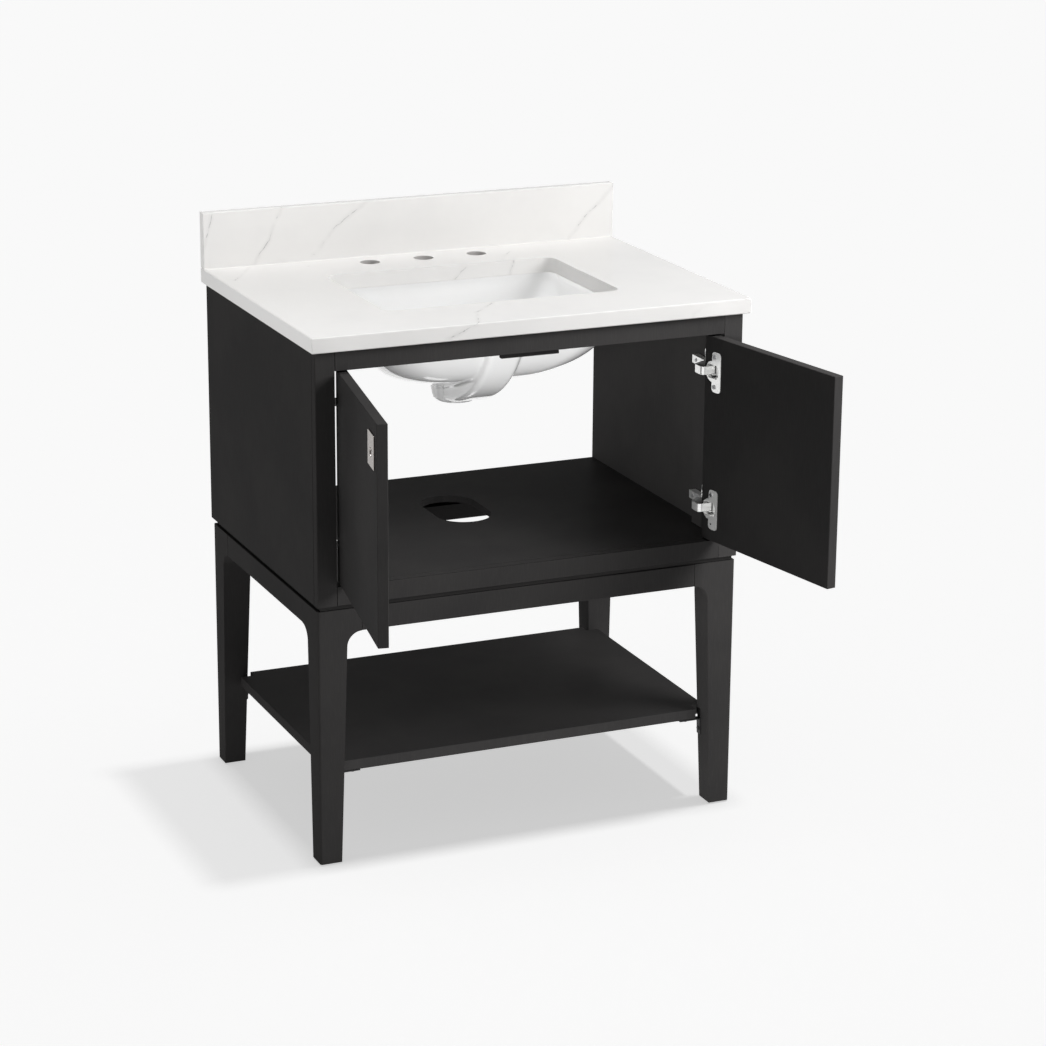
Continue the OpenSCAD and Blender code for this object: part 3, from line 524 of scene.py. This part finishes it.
# The bowl is an oblong at its rim. Down its wall it turns into the round seat of the drain.
BOWL_HALF_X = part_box("sink_basin")[1].x - FLANGE
BOWL_HALF_Y = 0.160
BOWL_CORNER = 0.034
BOWL_DEPTH = 0.157
BOWL_Y = -0.288
FLOOR_Z = RIM_Z - BOWL_DEPTH
WALL_SHARE = 0.567
BEND_SHARE = 0.45
OUTER_CORNER_EASE = 0.5
INNER_CORNER_EASE = 0.62
RIM_ROLL = 0.0055
RIM_ROLL_DEPTH = 0.022
REVEAL = 0.006

DRAIN_Y = -0.215
DRAIN_R = 0.02225
DRAIN_SEAT = 0.005
DRAIN_SEAT_R = DRAIN_R + DRAIN_SEAT
BOSS_WALL = 0.012
BOSS_R = DRAIN_R + BOSS_WALL
BOSS_FLARE = 0.012
BOSS_EDGE = 0.006
BOSS_SHOULDER = 0.004

# The overflow: a flat slot in the bowl's front wall, and the channel that leads from it to the drain
OVERFLOW_DROP = 0.038
OVERFLOW_Z = RIM_Z - OVERFLOW_DROP
OVERFLOW_HALF = 0.020
OVERFLOW_R = 0.004
OVERFLOW_REACH = 3 * CHINA
CHANNEL_HALF = 0.0335
CHANNEL_DEEP = 0.040
CHANNEL_CORNER = 0.012
CHANNEL_MARGIN = 0.012
CHANNEL_LIFT = 0.001
CHANNEL_TOP = Vector((0, BOWL_Y - BOWL_HALF_Y - CHANNEL_MARGIN, OVERFLOW_Z + CHANNEL_MARGIN))
CHANNEL_FOOT = Vector((0, DRAIN_Y, BOSS_Z + CHANNEL_LIFT))
CHANNEL_PULL = 0.113
CHANNEL_SLANT = math.radians(70.0)
CHANNEL_FOOT_SLOPE = math.radians(5.0)

BEND_RINGS = 36
FLOOR_RINGS = 16
CORNER_STEPS = 16
CHANNEL_STEPS = 40
GLAZE_VOXEL = 0.0023
GLAZE_FLOW = 0.5
GLAZE_PASSES = 6
CUT_MARGIN = 0.004


def lerp(first, second, share):
    return first + (second - first) * share


def oblong(half_x, half_y, corner, middle, across=Vector((1, 0, 0)), along=Vector((0, 1, 0))):
    """Points round an oblong with round corners, about a middle, in the plane of two directions."""
    points = []
    for quarter in range(4):
        side_x = 1 if quarter in (0, 3) else -1
        side_y = 1 if quarter < 2 else -1
        for step in range(CORNER_STEPS + 1):
            angle = QUARTER_TURN * (quarter + step / CORNER_STEPS)
            x = side_x * (half_x - corner) + corner * math.cos(angle)
            y = side_y * (half_y - corner) + corner * math.sin(angle)
            points.append(middle + across * x + along * y)
    return points


def band(work, upper, lower):
    """Faces between two rings of vertices."""
    faces = []
    for i in range(len(upper)):
        j = (i + 1) % len(upper)
        faces.append(work.faces.new((upper[i], lower[i], lower[j], upper[j])))
    return faces


def add_loft(work, rings):
    """A closed solid through rings of points."""
    levels = [[work.verts.new(point) for point in ring] for ring in rings]
    faces = [work.faces.new(levels[0]), work.faces.new(reversed(levels[-1]))]
    for upper, lower in zip(levels, levels[1:]):
        faces += band(work, upper, lower)
    bmesh.ops.recalc_face_normals(work, faces=faces)


def bowl_rings(inset, end_r, floor_z, rise, roll, corner_ease):
    """The bowl's surface from the rim down to the drain, set in by a thickness and by the rim's roll."""
    rings = []
    for i in range(BEND_RINGS + FLOOR_RINGS + 1):
        bend = min(i / BEND_RINGS, 1.0) * QUARTER_TURN
        share = BEND_SHARE * (1 - math.cos(bend))
        share += (1 - BEND_SHARE) * max(0, i - BEND_RINGS) / FLOOR_RINGS
        down = WALL_SHARE * math.sin(bend) + (1 - WALL_SHARE) * share
        z = lerp(RIM_Z, floor_z, down)
        rolled = roll * max(0.0, 1 - (RIM_Z - z) / RIM_ROLL_DEPTH) ** 2
        half_x = lerp(BOWL_HALF_X - inset, end_r, share) - rolled
        half_y = lerp(BOWL_HALF_Y - inset, end_r, share) - rolled
        corner = lerp(BOWL_CORNER - inset, min(half_x, half_y), share ** corner_ease) - rolled
        z += rise if i == 0 else 0
        rings.append(oblong(half_x, half_y, corner, Vector((0, lerp(BOWL_Y, DRAIN_Y, share), z))))
    return rings


def flange_rings():
    size = (BOWL_HALF_X + FLANGE, BOWL_HALF_Y + FLANGE, BOWL_CORNER + FLANGE)
    return [oblong(*size, Vector((0, BOWL_Y, z))) for z in (RIM_Z, RIM_Z - FLANGE_DEPTH)]


def drain_rings(*profile):
    """Rings of a turned form about the drain's axis, from radius and height pairs."""
    return [oblong(r, r, r, Vector((0, DRAIN_Y, z))) for r, z in profile]


def boss_rings():
    return drain_rings(
        (BOSS_R + BOSS_FLARE, FLOOR_Z - CHINA / 2),
        (BOSS_R + BOSS_EDGE, BOSS_Z + BOSS_EDGE),
        (BOSS_R, BOSS_Z),
    )


def channel_rings():
    """The overflow channel under the bowl's front, along a curve seen from the side."""
    pull_down = Vector((0, math.cos(CHANNEL_SLANT), -math.sin(CHANNEL_SLANT))) * CHANNEL_PULL
    pull_back = Vector((0, -math.cos(CHANNEL_FOOT_SLOPE), math.sin(CHANNEL_FOOT_SLOPE))) * CHANNEL_PULL
    a, b, c, d = CHANNEL_TOP, CHANNEL_TOP + pull_down, CHANNEL_FOOT + pull_back, CHANNEL_FOOT
    rings = []
    for i in range(CHANNEL_STEPS + 1):
        t = i / CHANNEL_STEPS
        u = 1 - t
        place = a * u ** 3 + b * 3 * u * u * t + c * 3 * u * t * t + d * t ** 3
        heading = ((b - a) * u * u + (c - b) * 2 * u * t + (d - c) * t * t).normalized()
        inward = Vector((0, -heading.z, heading.y))
        middle = place + inward * (CHANNEL_DEEP / 2)
        rings.append(oblong(CHANNEL_HALF, CHANNEL_DEEP / 2, CHANNEL_CORNER, middle, along=inward))
    return rings


def overflow_rings():
    """The slot through the bowl's front wall into the channel."""
    wall_y = BOWL_Y - BOWL_HALF_Y
    ends = (wall_y - CUT_MARGIN, wall_y + OVERFLOW_REACH)
    return [
        oblong(OVERFLOW_HALF, OVERFLOW_R, OVERFLOW_R, Vector((0, y, OVERFLOW_Z)), along=UP)
        for y in ends
    ]


def glaze(piece):
    """Lets overlapping solids flow together, as thick glaze does."""
    remesh = piece.modifiers.new("glaze", "REMESH")
    remesh.mode = "VOXEL"
    remesh.voxel_size = GLAZE_VOXEL
    smooth = piece.modifiers.new("soft", "SMOOTH")
    smooth.factor = GLAZE_FLOW
    smooth.iterations = GLAZE_PASSES
    settle(piece)


def cut_out(piece, tools):
    for tool in tools:
        cut = piece.modifiers.new("cut", "BOOLEAN")
        cut.operation = "DIFFERENCE"
        cut.solver = "MANIFOLD"
        cut.object = tool
    settle(piece)
    for tool in tools:
        bpy.data.objects.remove(tool)


def make_basin():
    """The china basin: bowl, flange, boss and channel flow together. Then bowl and holes are cut out."""
    foot_r = BOSS_R + BOSS_FLARE + BOSS_SHOULDER
    outside = bmesh.new()
    add_loft(outside, bowl_rings(0, foot_r, FLOOR_Z - CHINA, 0, 0, OUTER_CORNER_EASE))
    add_loft(outside, flange_rings())
    add_loft(outside, boss_rings())
    add_loft(outside, channel_rings())
    basin = new_piece("china_basin", outside)
    glaze(basin)
    inside = bmesh.new()
    add_loft(inside, bowl_rings(CHINA, DRAIN_SEAT_R, FLOOR_Z, CUT_MARGIN, RIM_ROLL, INNER_CORNER_EASE))
    holes = bmesh.new()
    add_loft(holes, drain_rings((DRAIN_R, FLOOR_Z + CUT_MARGIN), (DRAIN_R, BOSS_Z - CUT_MARGIN)))
    add_loft(holes, overflow_rings())
    cut_out(basin, [new_piece("bowl_space", inside), new_piece("hole_space", holes)])
    for face in basin.data.polygons:
        face.use_smooth = True
    basin.data.set_sharp_from_angle(angle=SHARP_ANGLE)
    dress(basin, MATERIALS["china"])
    stand_in(basin, "sink_basin")
    return basin


basin = make_basin()


# SEALANT

BEAD = 0.0022
BEAD_END = 0.0008
BEAD_STEPS = 6
RIM_BEAD = 0.0011
RIM_BEAD_SHIFT = 0.5
RIM_BEAD_STEPS = 10


def finish_bead(name, work):
    bead = new_piece(name, work)
    dress(bead, MATERIALS["stone"])
    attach(bead, BODY_OF["backsplash"])


def make_splash_bead():
    """A hollow bead where the splash stands on the slab."""
    low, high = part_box("backsplash")
    rings = []
    for x in (low.x + BEAD_END, high.x - BEAD_END):
        ring = [Vector((x, low.y + BEAD, low.z)), Vector((x, low.y + BEAD, low.z + 2 * BEAD))]
        for step in range(BEAD_STEPS + 1):
            angle = QUARTER_TURN * step / BEAD_STEPS
            y = low.y - BEAD * (1 - math.cos(angle))
            z = low.z + BEAD * (1 - math.sin(angle))
            ring.append(Vector((x, y, z)))
        rings.append(ring)
    work = bmesh.new()
    add_loft(work, rings)
    finish_bead("splash_sealant", work)


def make_rim_bead():
    """A thin round bead in the joint between the slab's cut-out and the china rim."""
    half_x = BOWL_HALF_X - CHINA - REVEAL
    half_y = BOWL_HALF_Y - CHINA - REVEAL
    corner = BOWL_CORNER - CHINA - REVEAL
    work = bmesh.new()
    rings = []
    for step in range(RIM_BEAD_STEPS):
        angle = FULL_TURN * step / RIM_BEAD_STEPS
        out = RIM_BEAD * (RIM_BEAD_SHIFT + math.cos(angle))
        middle = Vector((0, BOWL_Y, RIM_Z + RIM_BEAD * math.sin(angle)))
        ring = oblong(half_x + out, half_y + out, corner + out, middle)
        rings.append([work.verts.new(point) for point in ring])
    for this, following in zip(rings, rings[1:] + rings[:1]):
        for face in band(work, this, following):
            face.smooth = True
    bmesh.ops.recalc_face_normals(work, faces=work.faces)
    finish_bead("basin_sealant", work)


make_splash_bead()
make_rim_bead()


# FLOOR AND SURROUNDINGS

BACKGROUND = 0.9473
FLOOR_SIZE = 60.0
FLOOR_TONE = 0.84
FLOOR_BOUNCE = 0.6
WORLD_LEVEL = 0.10
SUN_LEVEL = 0.185
SHADOW_SLANT = 0.2
SUN_SOFTNESS = math.radians(4.0)
SUN_WAYS = ((0, 0, -1), (-SHADOW_SLANT, 0, -1))


def make_floor():
    """The floor takes the shadows of the two suns, on the photo's pale ground."""
    g = new_material("floor")
    suns = SUN_LEVEL * sum(-Vector(way).normalized().z for way in SUN_WAYS)
    rest = BACKGROUND - FLOOR_TONE * (WORLD_LEVEL + suns)
    strength = g.math("MULTIPLY", g.math("MAXIMUM", g.seen(), FLOOR_BOUNCE), rest)
    lit = g.add("BsdfDiffuse", Color=grey(FLOOR_TONE))
    glow = g.add("Emission", Color=grey(1), Strength=strength)
    both = g.add("AddShader")
    g.feed(both.inputs[0], lit.outputs[0])
    g.feed(both.inputs[1], glow.outputs[0])
    half = FLOOR_SIZE / 2
    corners = [(-half, -half, 0), (half, -half, 0), (half, half, 0), (-half, half, 0)]
    mesh = bpy.data.meshes.new("floor")
    mesh.from_pydata(corners, [], [(0, 1, 2, 3)])
    floor = bpy.data.objects.new("floor", mesh)
    bpy.context.scene.collection.objects.link(floor)
    dress(floor, g.finish(both))
    return floor


def make_world():
    """Dim soft light all round, and the photo's pale ground wherever the surroundings show."""
    g = Graph(bpy.data.worlds.new("world"), "OutputWorld")
    soft = g.add("Background", Color=grey(1), Strength=WORLD_LEVEL)
    pale = g.add("Background", Color=grey(BACKGROUND))
    both = g.add("MixShader", Fac=g.seen())
    g.feed(both.inputs[1], soft.outputs[0])
    g.feed(both.inputs[2], pale.outputs[0])
    bpy.context.scene.world = g.finish(both)


# LAMPS

def link(lamp, kind, pieces, state):
    """Names the pieces that a lamp lights or is blocked by (INCLUDE), or passes by (EXCLUDE)."""
    named = bpy.data.collections.new(kind + "_of_" + lamp.name)
    for piece in pieces:
        named.objects.link(piece)
    setattr(lamp.light_linking, kind, named)
    for entry in named.collection_objects:
        entry.light_linking.link_state = state


def add_lamp(name, kind, way, energy):
    data = bpy.data.lights.new(name, kind)
    data.energy = energy
    lamp = bpy.data.objects.new(name, data)
    bpy.context.scene.collection.objects.link(lamp)
    lamp.rotation_mode = "QUATERNION"
    lamp.rotation_quaternion = way.to_track_quat("-Z", "Y")
    return lamp


def make_sun(name, way, unlit, no_shadow_from):
    """A high lamp for the floor's shadow. The open doors throw none, as in the photo."""
    sun = add_lamp(name, "SUN", Vector(way), SUN_LEVEL * math.pi)
    sun.data.angle = SUN_SOFTNESS
    link(sun, "receiver_collection", unlit, "EXCLUDE")
    link(sun, "blocker_collection", no_shadow_from, "EXCLUDE")


MIDDLE = (0, -0.3, 0.6)
UNDERSIDE = (0, -0.3, 0.75)
SHELF_MIDDLE = (0, -0.3, 0.17)
KEY_PLACE = (1.3, -1.5, 1.7)
LEFT_PLACE = (-4.5, -1.0, 1.6)
RIGHT_INSIDE = ("right_side_panel", "right_stile", "right_hinge", "right_plate", "right_arm", "right_cup")


def make_fill(name, place, size, level, aim=MIDDLE, only=(), all_but=()):
    """A large soft lamp, as bright at its aim from far as from near, for some pieces or all but some."""
    way = Vector(aim) - Vector(place)
    lamp = add_lamp(name, "AREA", way, level * math.pi ** 2 * way.length_squared)
    lamp.data.shape = "RECTANGLE"
    lamp.data.size, lamp.data.size_y = size
    lamp.location = place
    lamp.visible_glossy = False
    link(lamp, "receiver_collection", only or all_but, "INCLUDE" if only else "EXCLUDE")
    return lamp


make_camera()
floor = make_floor()
make_world()
shown = {name: SKINS.get(name, node) for name, node in frame["nodes"].items()}
shelf = shown["lower_shelf"]
leaves = [piece for name, piece in shown.items() if BODY_OF[name].endswith("leaf")]
painted = [shown[name] for name, slot in SLOT_OF.items() if slot == "wood"]
above_shelf = [piece for piece in painted if piece is not shelf]
right_inside = [piece for name, piece in shown.items() if name.startswith(RIGHT_INSIDE)]

for i, way in enumerate(SUN_WAYS):
    make_sun("sun_" + str(i + 1), way, unlit=[shelf, shown["floor_panel"]], no_shadow_from=leaves)

# The lamps that light only some pieces hold the photo's balance of tones
make_fill("key_fill", KEY_PLACE, size=(1.0, 1.0), level=0.56, all_but=[floor])
make_fill("key_on_paint", KEY_PLACE, size=(1.0, 1.0), level=0.48, only=above_shelf)
make_fill("top_fill", (-0.9, -0.5, 1.6), size=(0.7, 0.7), level=0.17, all_but=[floor] + painted)
make_fill("left_fill", LEFT_PLACE, size=(2.4, 2.4), level=0.03, all_but=[floor] + painted)
make_fill("front_fill", (-0.3, -4.0, 0.95), size=(2.0, 1.0), level=0.15, all_but=[floor, basin] + painted)
make_fill("back_fill", (0.5, 4.5, 1.4), size=(3.0, 2.4), level=0.14, all_but=[floor])
make_fill("back_on_paint", (0.5, 4.5, 0.55), size=(3.0, 1.0), level=0.5, only=above_shelf)
make_fill("basin_top_fill", (0, -1.8, 3.4), size=(2.0, 2.0), level=0.15, only=[basin])
make_fill("basin_left_fill", LEFT_PLACE, size=(2.4, 2.4), level=0.55, only=[basin])
make_fill("basin_low_fill", (-0.8, -3.2, 0.25), size=(2.4, 0.4), level=0.82, aim=UNDERSIDE, only=[basin])
shelf_fill = make_fill(
    "shelf_fill", (-1.0, -4.0, 1.6), size=(1.0, 1.0), level=0.4, aim=SHELF_MIDDLE, only=[shelf]
)
link(shelf_fill, "blocker_collection", [shown["front_left_leg"]], "EXCLUDE")
make_fill("inner_fill", (-2.5, -4.0, 1.4), size=(1.0, 1.0), level=0.4, only=right_inside)
make_fill(
    "leg_fill", (-4.5, -0.6, 0.3), size=(1.0, 1.0), level=0.9, aim=SHELF_MIDDLE,
    only=[shown["front_right_leg"]],
)
bpy.context.scene.view_settings.view_transform = "Standard"
